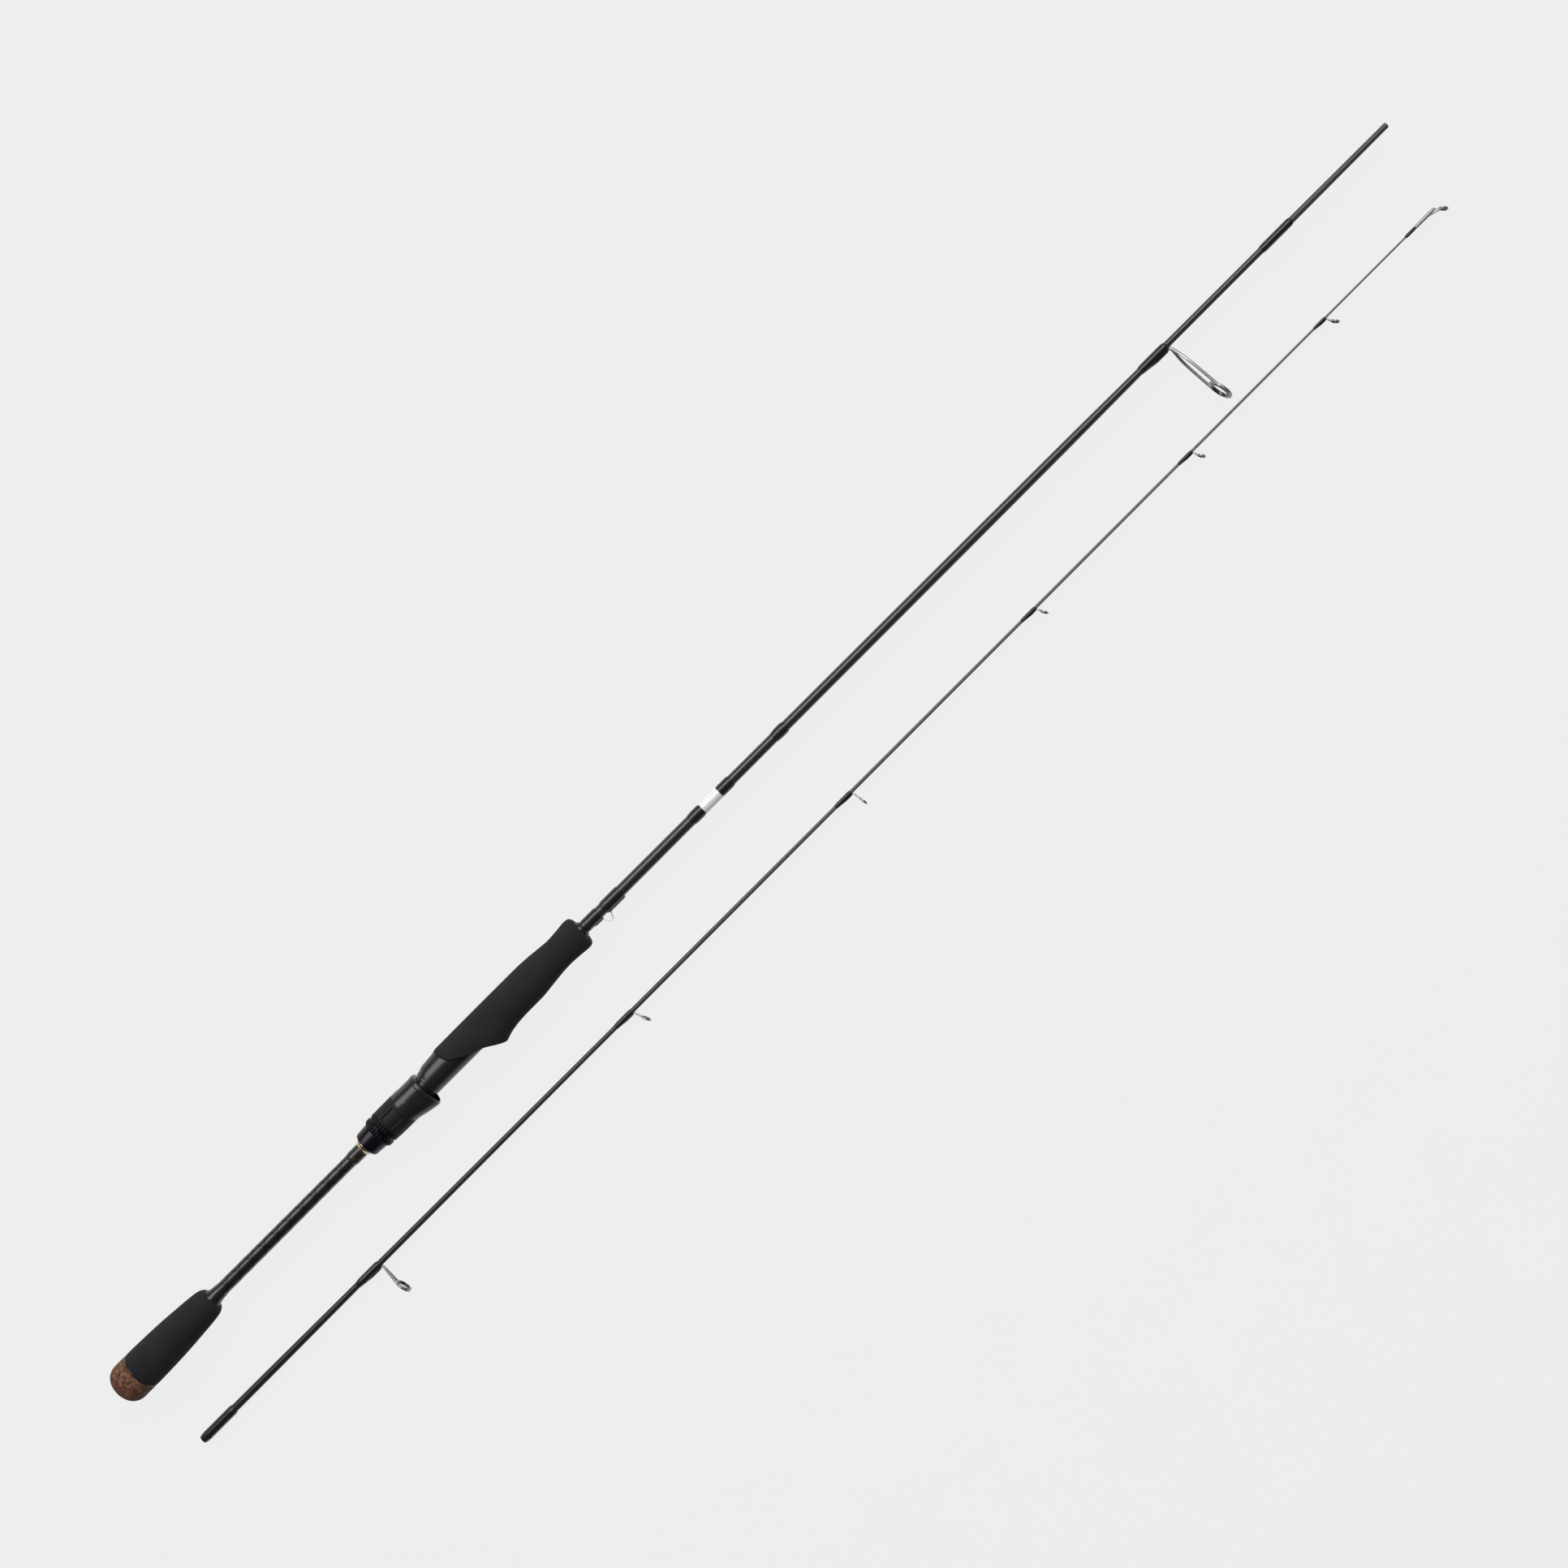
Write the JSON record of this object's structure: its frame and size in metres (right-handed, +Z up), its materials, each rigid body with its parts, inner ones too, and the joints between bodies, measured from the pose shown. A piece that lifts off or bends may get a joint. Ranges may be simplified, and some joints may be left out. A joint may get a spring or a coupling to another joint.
{
  "type": "spinning rod",
  "caption": "Slim two-piece casting rod for a fixed-spool reel, taken apart and laid side by side: foam grips, screw-down reel seat, line guides and push-fit ferrule.",
  "frame": {"origin": "on the surface that the rod lies on, under the middle of the box round both sections", "axes": "+X along both sections from the butt towards the tips, +Y from the tip section towards the butt section, away from the guides, +Z up"},
  "size_m": [1.101, 0.0962, 0.0264],
  "materials": {
    "carbon_blank": "clear-coated carbon tube",
    "grip_foam": "matt fine-pored foam",
    "cap_rubber_cork": "mottled brown rubberised cork",
    "thread_resin": "black thread under clear resin",
    "check_gold": "polished gold",
    "seat_plastic": "smooth satin black",
    "nut_metal": "dark anodised, violet grey",
    "band_silver": "pearl silver under clear resin",
    "guide_frame": "polished grey",
    "guide_ring": "polished dark ceramic"
  },
  "bodies": {
    "butt_section": {"butt_blank": "carbon_blank", "butt_cap": "cap_rubber_cork", "butt_cap_seam": "thread_resin", "rear_grip": "grip_foam", "rear_grip_check": "thread_resin", "seat_rear_wrap": "thread_resin", "seat_check_ring": "check_gold", "reel_seat_body": "seat_plastic", "seat_arbor_rear": "grip_foam", "seat_arbor_front": "grip_foam", "front_hood": "seat_plastic", "fore_grip": "grip_foam", "fore_grip_check": "thread_resin", "hook_keeper": "guide_frame", "keeper_rear_wrap": "thread_resin", "keeper_front_wrap": "thread_resin", "band_rear_wrap": "thread_resin", "silver_band": "band_silver", "band_front_wrap": "thread_resin", "blank_ring_wrap": "thread_resin", "guide_1_frame": "guide_frame", "guide_1_ring": "guide_ring", "guide_1_wrap": "thread_resin", "male_ferrule_wrap": "thread_resin"},
    "reel_hood": {"sliding_hood": "seat_plastic", "sliding_hood_rim": "seat_plastic"},
    "reel_nut": {"lock_nut": "nut_metal", "lock_nut_skirt": "nut_metal"},
    "tip_section": {"tip_blank": "carbon_blank", "female_ferrule_wrap": "thread_resin", "guide_2_frame": "guide_frame", "guide_2_ring": "guide_ring", "guide_2_wrap": "thread_resin", "guide_3_frame": "guide_frame", "guide_3_ring": "guide_ring", "guide_3_wrap": "thread_resin", "guide_4_frame": "guide_frame", "guide_4_ring": "guide_ring", "guide_4_wrap": "thread_resin", "guide_5_frame": "guide_frame", "guide_5_ring": "guide_ring", "guide_5_wrap": "thread_resin", "guide_6_frame": "guide_frame", "guide_6_ring": "guide_ring", "guide_6_wrap": "thread_resin", "guide_7_frame": "guide_frame", "guide_7_ring": "guide_ring", "guide_7_wrap": "thread_resin", "tip_top_frame": "guide_frame", "tip_top_ring": "guide_ring", "tip_top_wrap": "thread_resin"}
  },
  "joints": [
    {"name": "tip_section_slide", "type": "slide", "parent": "butt_section", "child": "tip_section", "axis": [1, 0, 0], "range_m": [0, 1.023]},
    {"name": "hood_slide", "type": "slide", "parent": "butt_section", "child": "reel_hood", "axis": [1, 0, 0], "range_m": [-0.012, 0.0015]},
    {"name": "nut_turn", "type": "hinge", "parent": "reel_hood", "child": "reel_nut", "pos_m": [-0.3225, 0.03494, 0.0132], "axis": [1, 0, 0], "range_deg": [-2160, 270]}
  ],
  "couplings": [
    {"joint": "nut_turn", "follows": "hood_slide", "rad_per_m": 3141.6}
  ]
}
